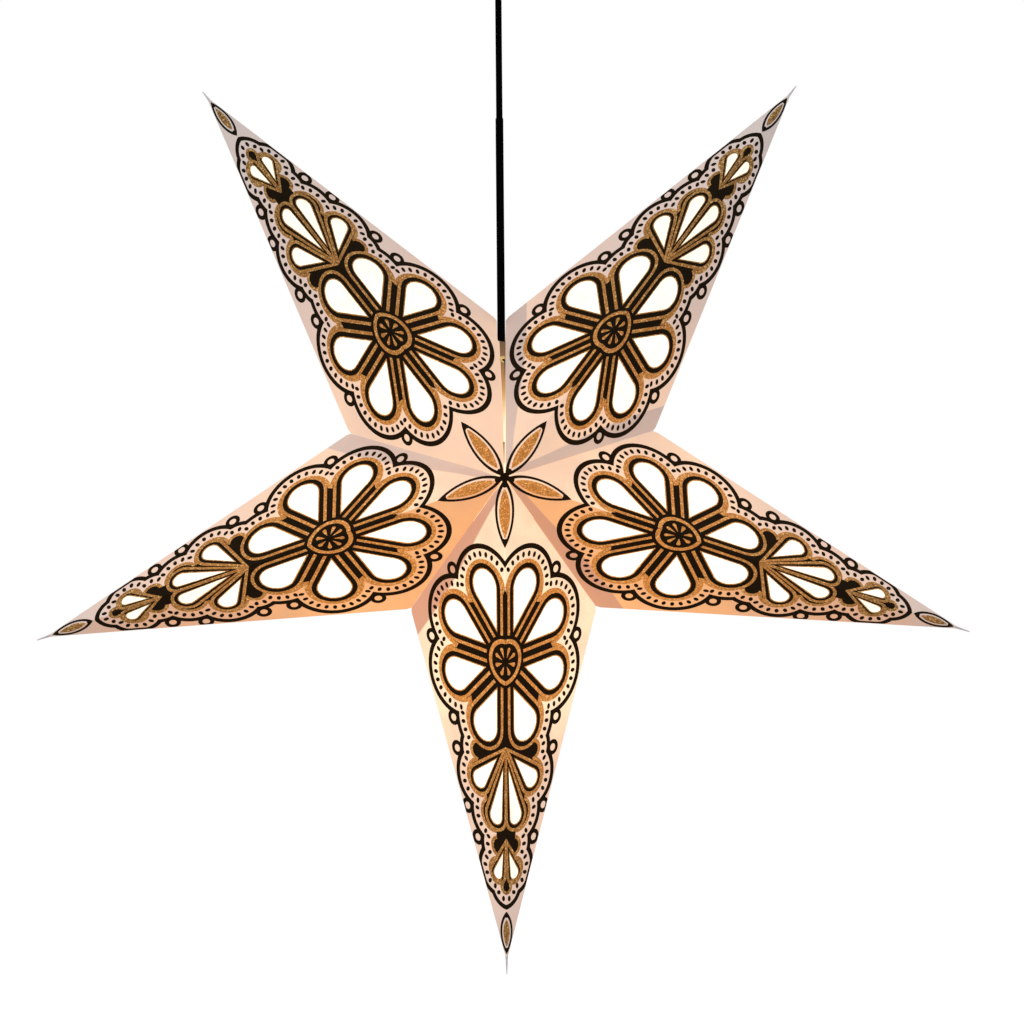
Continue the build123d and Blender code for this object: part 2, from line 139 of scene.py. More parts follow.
# Painted warm shade on the double card below the middle
LOW_BAND_SHADE = (0.36, 0.18, 0.13)
LEAK_GLOW = (1.0, 0.86, 0.50)  # along the open seam, near the apex
# Painted shade on the card deep in the open seam
SLOT_SHADE = (0.05, 0.03, 0.015)
SLOT_GLOW = (  # in the open seam, from the middle up
    (0.0, (1.0, 0.80, 0.42)), (0.35, (0.90, 0.48, 0.12)),
    (0.7, (0.42, 0.19, 0.05)), (1.0, SLOT_SHADE),
)

# Print heights over the card, in millimetres
SUNK = -0.02
INK_TOP = 0.08
RING_TOP = 0.085
GOLD_TOP = 0.13
HUB_TOP = 0.17
OVERLAP = 0.04  # one print layer reaches this far down into the one under it

# The flex and its sleeve
CORD_R = 2.1
CORD_TOP = -18.0
CORD_LOW = MIDDLE.z + 61.0
SLEEVE_R = 2.55
SLEEVE_TOP = MIDDLE.z + 235.0
SLEEVE_LOW = MIDDLE.z + 74.0
SLEEVE_LIP = 0.35  # how wide its ends look

# The ceiling cup, the lampholder and the globe
CUP_R = 45.0
CUP_WALL = 1.6
CUP_TOP = -0.5
CUP_BEND = -18.1
CUP_LOW = -44.5
CUP_FLAT_R = 16.2
CUP_HOLE_R = 6.0
HOLDER_R = 14.5
GROOVE_R = 14.1
HOLDER_JOINT = -329.5  # where the cap meets the skirt
GLOBE_R = 22.5
GLOBE_Z = -391.6
BLACK = ((0.012, 0.012, 0.012), (0.02, 0.02, 0.02), 0.42)  # two tones and roughness

# Edges: how wide they are eased, the angle from which they are sharp, and points that are one
EASED = 0.3
SHARP = radians(35)
MERGED = 0.001

# The stage, in metres, and the photograph's scale
FLOOR_R = 6.0
FLOOR_Z = -1.0
FLOOR_GLOW = 0.45
FILL_COLOUR = (0.80, 0.80, 0.82)
FILL_STRENGTH = 0.85
KEY_POWER = 14.0
KEY_SIZE = 1.6
KEY_FROM_MIDDLE = (-1.2, -2.2, 1.4)
SENSOR = 36.0
PHOTO_PIXELS = 1024
PIXELS_PER_MM = 1.533
AIM_FROM_MIDDLE = (0.0060, 0, -0.0219)
CAMERA_YAW = -0.9
CAMERA_ROLL = -0.5

# How far the paper's needle tips reach past the creases
NEEDLE_ROOT = 4.5
NEEDLE_R = (0.95, 0.25)  # at the root and at the end
NEEDLES = {"bottom": 9.5, "right": 7.0, "upper_right": 6.0, "left": 7.0, "upper_left": 4.5}


class StarSizes(bpy.types.PropertyGroup):
    """Sizes of the printed ornament and of the camera"""

    border_line: FloatProperty(name="Border line", description="Width of the scalloped line",
                               default=0.0034, unit="LENGTH")
    border_gap: FloatProperty(name="Border gap", description="From the gold to the scalloped line",
                              default=0.0068, unit="LENGTH")
    dot_pitch: FloatProperty(name="Dot pitch", description="From one printed dot to the next",
                             default=0.0056, unit="LENGTH")
    dot_size: FloatProperty(name="Dot size", description="Half the width of a printed dot",
                            default=0.0016, unit="LENGTH")
    gold_band: FloatProperty(name="Gold band", description="Width of the gold lines",
                             default=0.0025, unit="LENGTH")
    ink_band: FloatProperty(name="Ink band", description="Width of the black round a wide window",
                            default=0.0040, unit="LENGTH")
    camera_distance: FloatProperty(name="Camera distance", description="From the lens to the star",
                                   default=3.0, unit="LENGTH")


class StarColours(bpy.types.PropertyGroup):
    """Colours of the papers and prints, and the card's painted lit and shaded tones"""

    card: FloatVectorProperty(name="Card", description="Card away from the lamp", subtype="COLOR",
                              size=4, default=(0.70, 0.63, 0.60, 1.0))
    card_warm: FloatVectorProperty(name="Warm card", description="Card lit through from inside",
                                   subtype="COLOR", size=4, default=(0.55, 0.36, 0.24, 1.0))
    # Card over a glue flap: painted shade, where the flap lets less lamp light through
    double_card_shade: FloatVectorProperty(name="Double card", description="Card over a glue flap",
                                     subtype="COLOR", size=4, default=(0.42, 0.385, 0.38, 1.0))
    tissue: FloatVectorProperty(name="Tissue", description="Lamp light through the tissue",
                                subtype="COLOR", size=4, default=(1.0, 0.93, 0.76, 1.0))
    gold: FloatVectorProperty(name="Gold", description="Glitter print", subtype="COLOR",
                              size=4, default=(0.29, 0.15, 0.033, 1.0))
    ink: FloatVectorProperty(name="Ink", description="Black print", subtype="COLOR",
                             size=4, default=(0.006, 0.004, 0.0012, 1.0))
    flex: FloatVectorProperty(name="Flex", description="Cord sheath", subtype="COLOR",
                              size=4, default=(0.0008, 0.0008, 0.0008, 1.0))


# Outlines in a panel's own plane, in millimetres


def lens(length, width, steps=10):
    """A pointed oval of two arcs along X, its middle at the origin."""
    half = length / 2
    high = width / 2
    radius = (half**2 + high**2) / (2 * high)
    span = asin(min(1.0, half / radius))
    upper = []
    for k in range(steps + 1):
        angle = span - 2 * span * k / steps
        upper.append((radius * sin(angle), radius * cos(angle) - radius + high))
    lower = [(-x, -y) for x, y in upper[1:-1]]
    return upper + lower


def drop(length, width, steps=16):
    """A drop along X: pointed at X = 0 and round at its far end."""
    radius = width / 2
    turn = acos(radius / (length - radius))
    points = [(0.0, 0.0)]
    for k in range(steps + 1):
        angle = turn - pi + (2 * pi - 2 * turn) * k / steps
        points.append((length - radius + radius * cos(angle), radius * sin(angle)))
    return points


def on_ray(centre_u, turn, reach, loop):
    """A loop moved out from a centre on the ridge and turned to point away from it."""
    c = cos(radians(turn))
    s = sin(radians(turn))
    return [(centre_u + (reach + x) * c - y * s, (reach + x) * s + y * c) for x, y in loop]


def window_loop(shape, grow):
    """A window's outline, grown all round."""
    centre_u, turn, inner, outer, width = shape
    half_angle = asin(width / (2 * (outer - inner) - width))
    reach = inner - min(grow / sin(half_angle), 3 * grow)
    return on_ray(centre_u, turn, reach, drop(outer + grow - reach, width + 2 * grow))


def lobes(grow):
    """The border's circles from the apex to the tip, each grown."""
    rose = []
    for turn in reversed(ROSE_TURNS):
        along_u = ROSE_U + ROSE_LOBE_AT * cos(radians(turn))
        rose.append((along_u, ROSE_LOBE_AT * sin(radians(turn)), ROSE_LOBE_R))
    return [(u, v, r + grow) for u, v, r in (*rose, *FAN_LOBES)]


def meeting(first, second):
    """Where two circles meet, on the side away from the ridge."""
    (u, v, r), (x, y, q) = first, second
    apart = hypot(x - u, y - v)
    near = (apart**2 + r**2 - q**2) / (2 * apart)
    high = sqrt(max(r**2 - near**2, 0.0))
    eu = (x - u) / apart
    ev = (y - v) / apart
    ends = [(u + near * eu - high * ev, v + near * ev + high * eu),
            (u + near * eu + high * ev, v + near * ev - high * eu)]
    return max(ends, key=lambda p: p[1])


def lobe_chain(grow, bare=0.0, step=7.0):
    """The outer line of the lobes, from the ridge at the apex side to the ridge at the tip side."""
    circles = lobes(grow)
    last = len(circles) - 1
    chain = []
    for k, (u, v, r) in enumerate(circles):
        end = asin(max(-1.0, min(1.0, (bare - v) / r)))
        start = pi - end
        if k:
            x, y = meeting(circles[k - 1], circles[k])
            start = atan2(y - v, x - u)
        if k < last:
            x, y = meeting(circles[k], circles[k + 1])
            end = atan2(y - v, x - u)
        if start < end:
            start += 2 * pi
        count = max(2, ceil((start - end) / radians(step)))
        for j in range(1 if k else 0, count + 1):
            angle = start + (end - start) * j / count
            chain.append((u + r * cos(angle), v + r * sin(angle)))
    return chain


def hollows(grow, away):
    """Places outside the hollows of the border."""
    circles = lobes(grow)
    out = []
    for first, second in zip(circles, circles[1:]):
        x, y = meeting(first, second)
        middle_u = (first[0] + second[0]) / 2
        middle_v = (first[1] + second[1]) / 2
        length = hypot(x - middle_u, y - middle_v)
        out.append((x + (x - middle_u) / length * away, y + (y - middle_v) / length * away))
    return out


def spaced(places, least):
    """The places that keep at least a distance from the one before."""
    kept = places[:1]
    for place in places[1:]:
        if hypot(place[0] - kept[-1][0], place[1] - kept[-1][1]) >= least:
            kept.append(place)
    return kept


def closed_on_ridge(chain):
    """The area between a chain and the ridge."""
    return [(chain[0][0], 0.0)] + chain + [(chain[-1][0], 0.0)]


def along(chain, pitch):
    """Places at an even pitch along a chain, with the way the chain runs."""
    out = []
    left = pitch * 0.6
    for a, b in zip(chain, chain[1:]):
        run = hypot(b[0] - a[0], b[1] - a[1])
        while left <= run and run > 0:
            t = left / run
            out.append((a[0] + (b[0] - a[0]) * t, a[1] + (b[1] - a[1]) * t,
                        degrees(atan2(b[1] - a[1], b[0] - a[0]))))
            left += pitch
        left -= run
    return out


def spot(u, v, turn, long, wide, sides=8):
    """A small oval."""
    c = cos(radians(turn))
    s = sin(radians(turn))
    loop = []
    for k in range(sides):
        x = long * cos(2 * pi * k / sides)
        y = wide * sin(2 * pi * k / sides)
        loop.append((u + x * c - y * s, v + x * s + y * c))
    return loop


def half_circle(u, radius, steps=24):
    """Half a circle's points, from the ridge round to the ridge."""
    return [(u + radius * cos(pi * k / steps), radius * sin(pi * k / steps)) for k in range(steps + 1)]


def above(loop):
    """The part of a loop on this side of the ridge."""
    out = []
    for k, b in enumerate(loop):
        a = loop[k - 1]
        if (a[1] < 0) != (b[1] < 0):
            out.append((a[0] + (b[0] - a[0]) * -a[1] / (b[1] - a[1]), 0.0))
        if b[1] >= 0:
            out.append(b)
    return out


def half_frame(centre, length, width, line):
    """The line round a leaf on the ridge, on this side of it."""
    outer = sorted(p for p in lens(length, width, 14) if p[1] >= 0)
    inner = sorted(p for p in lens(length - 3.2 * line, width - 2 * line, 14) if p[1] >= 0)
    loop = [(outer[0][0], 0.0), *outer, (outer[-1][0], 0.0)]
    loop += [(inner[-1][0], 0.0), *inner[::-1], (inner[0][0], 0.0)]
    return [(centre + x, y) for x, y in loop]


def edge_room(u, v):
    """How far a place on a panel is from the silhouette crease."""
    return ((RIDGE_L - u) * VALLEY_V - v * (RIDGE_L - VALLEY_U)) / EDGE_L


def inside_edge(loop, room):
    """A loop pressed flat where it would come nearer to the silhouette crease."""
    kept = []
    for u, v in loop:
        over = max(0.0, room - edge_room(u, v))
        kept.append((u - over * VALLEY_V / EDGE_L, v - over * (RIDGE_L - VALLEY_U) / EDGE_L))
    return kept


# Making pieces


def deselect():
    """Leave nothing selected."""
    bpy.ops.object.select_all(action="DESELECT")


def take(piece):
    """Make a piece the only one that the operators act on."""
    deselect()
    piece.select_set(True)
    bpy.context.view_layer.objects.active = piece


def opened(piece):
    """Open a piece in edit mode with all of it selected."""
    take(piece)
    bpy.ops.object.mode_set(mode="EDIT")
    bpy.ops.mesh.select_all(action="SELECT")


def shut():
    """Leave edit mode."""
    bpy.ops.object.mode_set(mode="OBJECT")


def add_line(curve, points, closed):
    """Add a line of places in millimetres to a curve."""
    spline = curve.splines.new("POLY")
    spline.points.add(len(points) - 1)
    for point, place in zip(spline.points, points):
        point.co = (*[value * MM for value in place], 1.0)
    spline.use_cyclic_u = closed


def meshed(curve):
    """A curve as a mesh, left in edit mode with all of it selected."""
    piece = bpy.data.objects.new(curve.name, curve)
    bpy.context.scene.collection.objects.link(piece)
    take(piece)
    bpy.ops.object.convert(target="MESH")
    piece = bpy.context.view_layer.objects.active
    opened(piece)
    return piece


def plate(name, loops, low, high):
    """A thin plate on the panel's plane. Loops inside others are holes."""
    curve = bpy.data.curves.new(name, "CURVE")
    curve.dimensions = "2D"
    curve.fill_mode = "BOTH"
    curve.extrude = (high - low) / 2 * MM
    for loop in loops:
        add_line(curve, [(u, v, 0.0) for u, v in loop], True)
    piece = meshed(curve)
    bpy.ops.mesh.remove_doubles(threshold=MERGED * MM)
    bpy.ops.transform.translate(value=(0, 0, (high + low) / 2 * MM))
    bpy.ops.mesh.normals_make_consistent(inside=False)
    shut()
    return piece


def eased(piece):
    """Ease the active piece's sharp edges and smooth the rest."""
    bevel = piece.modifiers.new("edges", "BEVEL")
    bevel.width = EASED * MM
    bevel.segments = 2
    bevel.limit_method = "ANGLE"
    bevel.angle_limit = SHARP
    bpy.ops.object.modifier_apply(modifier="edges")
    bpy.ops.object.shade_smooth_by_angle(angle=SHARP)
    return piece


def spun(name, section, steps):
    """A piece turned round the Z axis from its half section."""
    curve = bpy.data.curves.new(name, "CURVE")
    curve.dimensions = "3D"
    add_line(curve, [(radius, 0.0, height) for radius, height in section], section[0][0] > 0)
    piece = meshed(curve)
    bpy.ops.mesh.spin(steps=steps, angle=2 * pi, center=(0, 0, 0), axis=(0, 0, 1))
    bpy.ops.mesh.select_all(action="SELECT")
    bpy.ops.mesh.remove_doubles(threshold=2 * MERGED * MM)
    bpy.ops.mesh.normals_make_consistent(inside=False)
    shut()
    return eased(piece)


def arc(middle_r, middle_z, across, down, start, end, steps=14):
    """Points of an oval arc in a half section, angles in degrees up from level."""
    points = []
    for k in range(steps + 1):
        angle = radians(start + (end - start) * k / steps)
        points.append((middle_r + across * cos(angle), middle_z + down * sin(angle)))
    return points


def finished(piece, finish):
    """Give a piece one material."""
    piece.data.materials.clear()
    piece.data.materials.append(finish)


def fitted(piece, finish, body, slot, *nodes):
    """Finish a piece that stands for CAD nodes."""
    finished(piece, finish)
    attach(piece, body)
    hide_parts(*nodes)


def cut_at_ridge(piece):
    """Take off what lies past the ridge."""
    opened(piece)
    bpy.ops.mesh.bisect(plane_co=(0, 0, 0), plane_no=(0, 1, 0), use_fill=True, clear_inner=True)
    shut()


def joined(pieces):
    """Several pieces as one."""
    take(pieces[0])
    for piece in pieces[1:]:
        piece.select_set(True)
    bpy.ops.object.join()
    return pieces[0]


def panel_matrix(azimuth, turn, face):
    """A panel's plane in the frame, in metres, and which way its valley lies."""
    apex = MIDDLE + Vector((0, face * APEX_H, 0))
    tip = MIDDLE + TIP_R * Vector((cos(radians(azimuth)), 0, sin(radians(azimuth))))
    at = radians(azimuth + turn * HALF)
    valley = MIDDLE + VALLEY_R * Vector((cos(at), 0, sin(at)))
    x = (tip - apex).normalized()
    z = x.cross(valley - apex).normalized()
    if z.dot(valley - MIDDLE) < 0:
        z = -z
    y = z.cross(x)
    side = 1 if y.dot(valley - apex) > 0 else -1
    columns = Matrix((x, y * side, z)).transposed().to_4x4()
    return Matrix.Translation(apex * MM) @ columns, side


def panels():
    """Every panel: its body's name, its matrix and which way its valley lies."""
    for point, (azimuth, *sides) in POINTS.items():
        for turn, side_name in zip((-1, 1), sides):
            for face, face_name in ((-1, "front"), (1, "back")):
                matrix, side = panel_matrix(azimuth, turn, face)
                yield f"{point}_{face_name}_{side_name}", matrix, side


def copy_to_panels(master, suffix, finish):
    """Copy a piece made for one panel onto all twenty."""
    for body, matrix, side in panels():
        piece = master.copy()
        piece.data = master.data.copy()
        piece.name = f"{body}_{suffix}"
        bpy.context.scene.collection.objects.link(piece)
        piece.data.transform(matrix)
        if side < 0:
            piece.data.flip_normals()
        finished(piece, finish)
        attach(piece, body)
    bpy.data.objects.remove(master)


# Materials


def material(name):
    """A new material, its node tree and its shader."""
    made = bpy.data.materials.new(name)
    made.use_nodes = True
    return made, made.node_tree, made.node_tree.nodes["Principled BSDF"]


def ramp(tree, value, stops, interpolation="LINEAR"):
    """Colours along a value."""
    made = tree.nodes.new("ShaderNodeValToRGB")
    made.color_ramp.interpolation = interpolation
    while len(made.color_ramp.elements) < len(stops):
        made.color_ramp.elements.new(0.5)
    for element, (place, colour) in zip(made.color_ramp.elements, stops):
        element.position = place
        element.color = (*colour[:3], 1.0)
    tree.links.new(value, made.inputs["Fac"])
    return made.outputs["Color"]


def scaled(colour, *shares):
    """A colour with its red, green and blue each multiplied."""
    return tuple(value * share for value, share in zip(colour, shares))


def maths(tree, operation, first, second=None, clamp=False):
    """A maths node whose inputs are numbers or other nodes' outputs."""
    made = tree.nodes.new("ShaderNodeMath")
    made.operation = operation
    made.use_clamp = clamp
    for socket, value in zip(made.inputs, (first, second)):
        if isinstance(value, (int, float)):
            socket.default_value = value
        elif value is not None:
            tree.links.new(value, socket)
    return made.outputs["Value"]


def product(tree, *factors, clamp=False):
    """Several values multiplied."""
    total = factors[0]
    for factor in factors[1:]:
        total = maths(tree, "MULTIPLY", total, factor, clamp)
    return total


def spread(tree, value, low, high, to_low=0.0, to_high=1.0):
    """Turn a range of values into another."""
    made = tree.nodes.new("ShaderNodeMapRange")
    made.interpolation_type = "SMOOTHSTEP"
    for key, number in (("From Min", low), ("From Max", high), ("To Min", to_low), ("To Max", to_high)):
        made.inputs[key].default_value = number
    tree.links.new(value, made.inputs["Value"])
    return made.outputs["Result"]


def blended(tree, factor, first, second):
    """A colour between two colours."""
    made = tree.nodes.new("ShaderNodeMix")
    made.data_type = "RGBA"
    for key, value in (("Factor", factor), ("A", first), ("B", second)):
        socket = [item for item in made.inputs if item.name == key and item.enabled][0]
        if isinstance(value, tuple):
            socket.default_value = (*value[:3], 1.0)
        else:
            tree.links.new(value, socket)
    return [item for item in made.outputs if item.enabled][0]


def noise(tree, where, scale, detail=4.0, roughness=0.6):
    """A noise over the object's own coordinates."""
    made = tree.nodes.new("ShaderNodeTexNoise")
    for key, value in (("Scale", scale), ("Detail", detail), ("Roughness", roughness)):
        made.inputs[key].default_value = value
    tree.links.new(where, made.inputs["Vector"])
    return made.outputs["Fac"]


def relief(tree, shader, height, strength, distance=0.0002):
    """Small bumps from a height."""
    bump = tree.nodes.new("ShaderNodeBump")
    bump.inputs["Strength"].default_value = strength
    bump.inputs["Distance"].default_value = distance
    tree.links.new(height, bump.inputs["Height"])
    tree.links.new(bump.outputs["Normal"], shader.inputs["Normal"])


def surface(shader, **values):
    """Set numbers on the shader. An underscore stands for a space."""
    for key, value in values.items():
        shader.inputs[key.replace("_", " ")].default_value = value


def vector_maths(tree, operation, place, other):
    """A vector node on a place and a fixed vector."""
    made = tree.nodes.new("ShaderNodeVectorMath")
    made.operation = operation
    made.inputs[1].default_value = other
    tree.links.new(place, made.inputs[0])
    return made.outputs


def from_middle(tree):
    """Object coordinates, and the same measured from the star's middle, whole and as X, Y and Z."""
    where = tree.nodes.new("ShaderNodeTexCoord").outputs["Object"]
    place = vector_maths(tree, "SUBTRACT", where, MIDDLE * MM)["Vector"]
    split = tree.nodes.new("ShaderNodeSeparateXYZ")
    tree.links.new(place, split.inputs["Vector"])
    return where, place, split.outputs


def lamp_share(tree, stops):
    """How much of the lamp reaches a place: 1 near the lamp, 0 far away, less above it."""
    where, place, axes = from_middle(tree)
    distance = vector_maths(tree, "DISTANCE", place, (LAMP - MIDDLE) * MM)["Value"]
    away = tree.nodes.new("ShaderNodeMapRange")
    away.inputs["From Max"].default_value = LAMP_REACH
    tree.links.new(distance, away.inputs["Value"])
    greys = [(at, (share, share, share)) for at, share in stops]
    fall = ramp(tree, away.outputs["Result"], greys, "EASE")
    height = spread(tree, axes["Z"], -0.14, 0.16, 1.0, 0.45)
    return where, product(tree, fall, height)


def flap_shade_mask(tree, place):
    """1 where a glue flap doubles the card along a seam: there less lamp light comes through, and shade
    is painted.
    """
    total = 0.0
    for azimuth, side in SEAMS:
        at = radians(azimuth)
        out = vector_maths(tree, "DOT_PRODUCT", place, (cos(at), 0.0, sin(at)))["Value"]
        beside = (-side * sin(at), 0.0, side * cos(at))
        across = vector_maths(tree, "DOT_PRODUCT", place, beside)["Value"]
        width = spread(tree, out, 0.0, 0.1, *FLAP_W)
        inside = maths(tree, "SUBTRACT", width, across)
        edge = spread(tree, inside, -0.0006, 0.0006)
        near = spread(tree, across, -0.0004, 0.0002)
        ahead = spread(tree, out, 0.004, 0.012)
        total = maths(tree, "ADD", product(tree, edge, near, ahead), total, clamp=True)
    return total


def open_slot(tree, axes, side):
    """1 on the end flap and the card's edges, deep in the open seam."""
    depth = maths(tree, "ABSOLUTE", axes["Y"])
    depth = maths(tree, "ADD", depth, product(tree, axes["Z"], APEX_H / VALLEY_R))
    deep = maths(tree, "LESS_THAN", depth, (APEX_H - 0.8) * MM)
    narrow = maths(tree, "LESS_THAN", side, 0.003)
    return product(tree, deep, narrow, maths(tree, "GREATER_THAN", axes["Z"], 0.004))


def seam_leak(tree, axes, side):
    """1 on the lit edge at one side of the open seam, near the apex."""
    gap = product(tree, axes["Z"], SEAM_X / VALLEY_R)
    edge = maths(tree, "LESS_THAN", maths(tree, "SUBTRACT", axes["X"], gap), 0.0004)
    right = maths(tree, "GREATER_THAN", axes["X"], 0.0)
    low = spread(tree, axes["Z"], 0.03, 0.058, 1.0, 0.0)
    return product(tree, edge, right, low, maths(tree, "GREATER_THAN", axes["Z"], 0.003))


def facing_down(tree, axes, side):
    """1 on the side points' lower panels."""
    slope = maths(tree, "DIVIDE", axes["Z"], maths(tree, "ADD", side, 0.0001))
    below_ridge = maths(tree, "LESS_THAN", slope, -tan(radians(90.0 - 2 * HALF)))
    below_seam = maths(tree, "LESS_THAN", slope, -tan(radians(90.0 - HALF)))
    return maths(tree, "SUBTRACT", below_ridge, below_seam)


def card_material(colours):
    """Printed card that the lamp shines through, painted warmer where lit and with painted shade over the
    glue flaps and deep in the open seam, and inside the open seam the lit flap.
    """
    made, tree, shader = material("printed_card")
    where, share = lamp_share(tree, CARD_FALL)
    _, place, axes = from_middle(tree)
    side = maths(tree, "ABSOLUTE", axes["X"])
    patches = spread(tree, noise(tree, where, 26.0, 5.0), 0.25, 0.75, 0.86, 1.12)
    flap_shade = flap_shade_mask(tree, place)
    dimmed = spread(tree, flap_shade, 0.0, 1.0, 1.0, 0.6)
    uneven = product(tree, product(tree, share, patches), dimmed, clamp=True)

    tone = blended(tree, uneven, tuple(colours.card), tuple(colours.card_warm))
    # Painted shade over the glue flaps, stronger higher up
    flap_shade_by_height = product(tree, flap_shade, spread(tree, axes["Z"], -0.05, 0.06, 0.15, 0.75))
    tone = blended(tree, flap_shade_by_height, tone, tuple(colours.double_card_shade))
    # Painted lamp light on the side points' lower panels, in the base colour and the glow
    down_lit = facing_down(tree, axes, side)
    tone = blended(tree, product(tree, down_lit, uneven), tone, ORANGE_LIT_CARD)
    glow = ramp(tree, uneven, CARD_GLOW)
    orange_glow = blended(tree, uneven, DARK, ORANGE_GLOW)
    lit = blended(tree, product(tree, down_lit, 0.8), glow, orange_glow)

    slot = open_slot(tree, axes, side)
    up_slot = spread(tree, axes["Z"], 0.0, 0.1)
    lit = blended(tree, slot, lit, ramp(tree, up_slot, SLOT_GLOW))
    # Painted shade on the card and the end flap deep in the open seam
    base = blended(tree, slot, tone, SLOT_SHADE)

    # Painted warm shade and glow where the card is double, below the middle
    low = product(tree, flap_shade, spread(tree, axes["Z"], -0.03, 0.02, 0.85, 0.0))
    base = blended(tree, low, base, LOW_BAND_SHADE)
    lit = blended(tree, low, lit, blended(tree, share, DARK, LOW_BAND_GLOW))
    lit = blended(tree, seam_leak(tree, axes, side), lit, LEAK_GLOW)
    tree.links.new(base, shader.inputs["Base Color"])
    tree.links.new(lit, shader.inputs["Emission Color"])
    surface(shader, Emission_Strength=1.0, Roughness=0.75)
    relief(tree, shader, noise(tree, where, 900.0, 3.0, 0.7), 0.12)
    return made


def needle_material(colours):
    """Bare card where the sheets are nipped together."""
    made, tree, shader = material("nipped_card")
    where = tree.nodes.new("ShaderNodeTexCoord").outputs["Object"]
    fibre = noise(tree, where, 700.0, 3.0, 0.7)
    stops = [(0.3, scaled(colours.card, 0.7, 0.72, 0.76)), (0.7, tuple(colours.card))]
    tree.links.new(ramp(tree, fibre, stops), shader.inputs["Base Color"])
    surface(shader, Roughness=0.8)
    relief(tree, shader, fibre, 0.2)
    return made


def tissue_material(colours):
    """Tissue with the lamp behind it."""
    made, tree, shader = material("window_tissue")
    where, share = lamp_share(tree, TISSUE_FALL)
    wrinkle = noise(tree, where, 60.0)
    lit = colours.tissue
    stops = [(0.3, scaled(lit, 1.0, 0.95, 0.87)), (0.7, scaled(lit, 1.0, 1.03, 1.11))]
    tree.links.new(ramp(tree, wrinkle, stops), shader.inputs["Emission Color"])
    tree.links.new(spread(tree, share, 0.0, 1.0, 0.83, 1.12), shader.inputs["Emission Strength"])
    surface(shader, Base_Color=(0.5, 0.45, 0.36, 1), Roughness=0.9)
    relief(tree, shader, wrinkle, 0.3, 0.0005)
    return made


def gold_material(colours):
    """Glitter: grains of their own tone and brightness, the brightest a painted sparkle, lit through near
    the lamp.
    """
    made, tree, shader = material("gold_glitter_print")
    where, share = lamp_share(tree, GOLD_FALL)
    grains = tree.nodes.new("ShaderNodeTexVoronoi")
    grains.inputs["Scale"].default_value = 1300.0
    tree.links.new(where, grains.inputs["Vector"])
    grain = tree.nodes.new("ShaderNodeSeparateColor")
    tree.links.new(grains.outputs["Color"], grain.inputs["Color"])
    gold = colours.gold
    stops = [(0.0, scaled(gold, 0.30, 0.28, 0.25)), (0.55, tuple(gold)),
             (0.85, scaled(gold, 1.45, 1.45, 1.5)), (1.0, GOLD_PAINTED_SPARK)]
    tree.links.new(ramp(tree, grain.outputs["Red"], stops), shader.inputs["Base Color"])
    bright = spread(tree, grain.outputs["Green"], 0.0, 1.0, 0.7, 1.25)
    glow = blended(tree, product(tree, share, bright), DARK, GOLD_GLOW)
    tree.links.new(glow, shader.inputs["Emission Color"])
    surface(shader, Emission_Strength=1.0, Metallic=0.25, Specular_IOR_Level=0.2, Roughness=0.5)
    relief(tree, shader, grain.outputs["Green"], 0.5, 0.0003)
    return made


def ink_material(colours):
    """Black ink, a little worn, and warmer near the lamp."""
    made, tree, shader = material("black_ink_print")
    where, share = lamp_share(tree, INK_FALL)
    wear = noise(tree, where, 420.0, 6.0, 0.7)
    stops = [(0.35, tuple(colours.ink)), (0.72, scaled(colours.ink, 2.2, 2.0, 1.8))]
    tree.links.new(ramp(tree, wear, stops), shader.inputs["Base Color"])
    tree.links.new(blended(tree, share, DARK, INK_GLOW), shader.inputs["Emission Color"])
    surface(shader, Emission_Strength=1.0, Roughness=0.7, Specular_IOR_Level=0.03)
    relief(tree, shader, wear, 0.2)
    return made


def plain_material(name, low, high, roughness, metallic=0.0, scale=300.0, bump_strength=0.1,
                   emission=None, specular=0.5):
    """A moulded or drawn finish: two close tones in a fine noise, with a little relief."""
    made, tree, shader = material(name)
    where = tree.nodes.new("ShaderNodeTexCoord").outputs["Object"]
    grain = noise(tree, where, scale)
    tree.links.new(ramp(tree, grain, [(0.3, low), (0.7, high)]), shader.inputs["Base Color"])
    surface(shader, Roughness=roughness, Metallic=metallic, Specular_IOR_Level=specular)
    relief(tree, shader, grain, bump_strength)
    if emission:
        surface(shader, Emission_Color=(*emission, 1), Emission_Strength=1.0)
    return made


def warmed_by_lamp(made):
    """Add the bulb's light on what stands right over it."""
    tree = made.node_tree
    shader = tree.nodes["Principled BSDF"]
    share = lamp_share(tree, HOLDER_FALL)[1]
    tree.links.new(blended(tree, share, DARK, HOLDER_GLOW), shader.inputs["Emission Color"])
    surface(shader, Emission_Strength=1.0)
    return made


# Half sections of the turned fittings, radius first, in millimetres


def cup_section():
    """The ceiling cup: a rim that curves in to a flat bottom with a hole for its grip."""
    lines = []
    for wall in (0.0, CUP_WALL):
        radius = CUP_R - wall
        low = CUP_LOW + wall
        bend = arc(CUP_FLAT_R, CUP_BEND, radius - CUP_FLAT_R, CUP_BEND - low, 0, -90)
        lines.append([(radius, CUP_TOP), *bend, (CUP_HOLE_R, low)])
    return lines[0] + lines[1][::-1]


def grip_section():
    """The cup's cord grip: a ribbed nose below the cup, a collar, and a neck up into the cup."""
    nose = [(2.35, -53.5), (4.2, -53.5), (5.0, -52.9)]
    for k in range(3):
        z = -51.6 + 1.7 * k
        rib = 5.8 + 0.75 * k
        nose += [(rib, z), (rib - 0.5, z + 0.3), (rib - 0.3, z + 0.9), (rib + 0.4, z + 1.2)]
    collar = [(8.6, -45.6), (9.0, -45.0), (9.0, -44.5)]
    neck = [(5.9, -44.5), (5.9, -39.9), (2.35, -39.9)]
    return nose + collar + neck


